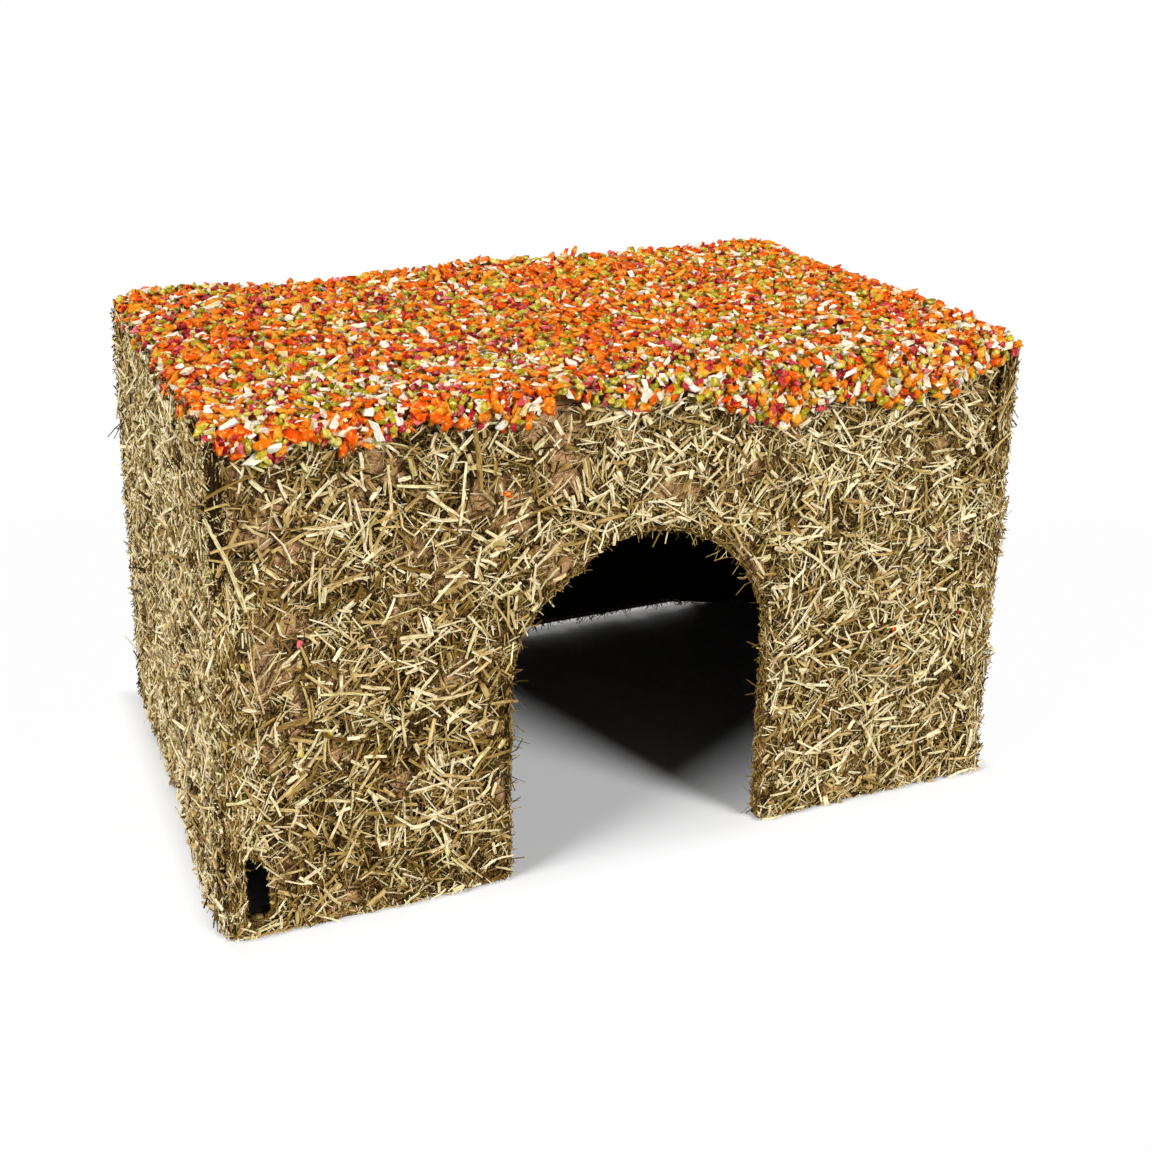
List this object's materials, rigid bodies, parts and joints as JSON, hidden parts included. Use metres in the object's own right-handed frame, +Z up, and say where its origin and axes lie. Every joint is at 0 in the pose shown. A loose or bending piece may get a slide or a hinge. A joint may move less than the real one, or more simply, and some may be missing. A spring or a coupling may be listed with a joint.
{
  "type": "hay hideout",
  "caption": "Free-standing hideout for small pets: a box of kraft boards faced with pressed hay, with an arched doorway, no floor, and a roof of dried vegetable flakes set in paste.",
  "frame": {"origin": "on the floor under the middle of the house", "axes": "+X to the right when facing the doorway, +Y from the doorway to the back wall, +Z up"},
  "size_m": [0.3436, 0.2092, 0.2061],
  "materials": {
    "kraft": "bare brown kraft board, matt",
    "hay": "chopped dry hay pressed and glued on the board",
    "stem": "pale dry stems, slightly shiny",
    "seam": "hay and paste pressed into a corner",
    "glue": "dried starch glue",
    "paste": "dried pale paste with crumbs",
    "carrot": "dried carrot, matt orange",
    "pea": "dried flaked pea, matt green",
    "parsnip": "dried parsnip, matt cream",
    "beetroot": "dried beetroot, matt dark red"
  },
  "bodies": {
    "root": {"front_board": "kraft", "back_board": "kraft", "left_board": "kraft", "right_board": "kraft", "roof_board": "kraft", "front_hay": "hay", "back_hay": "hay", "left_hay": "hay", "right_hay": "hay", "front_left_seam": "seam", "front_right_seam": "seam", "back_left_seam": "seam", "back_right_seam": "seam", "roof_front_glue": "glue", "roof_back_glue": "glue", "roof_left_glue": "glue", "roof_right_glue": "glue", "roof_paste": "paste", "carrot_flakes": "carrot", "pea_flakes": "pea", "parsnip_chips": "parsnip", "beetroot_bits": "beetroot", "front_stems": "stem", "back_stems": "stem", "left_stems": "stem", "right_stems": "stem"}
  },
  "joints": []
}
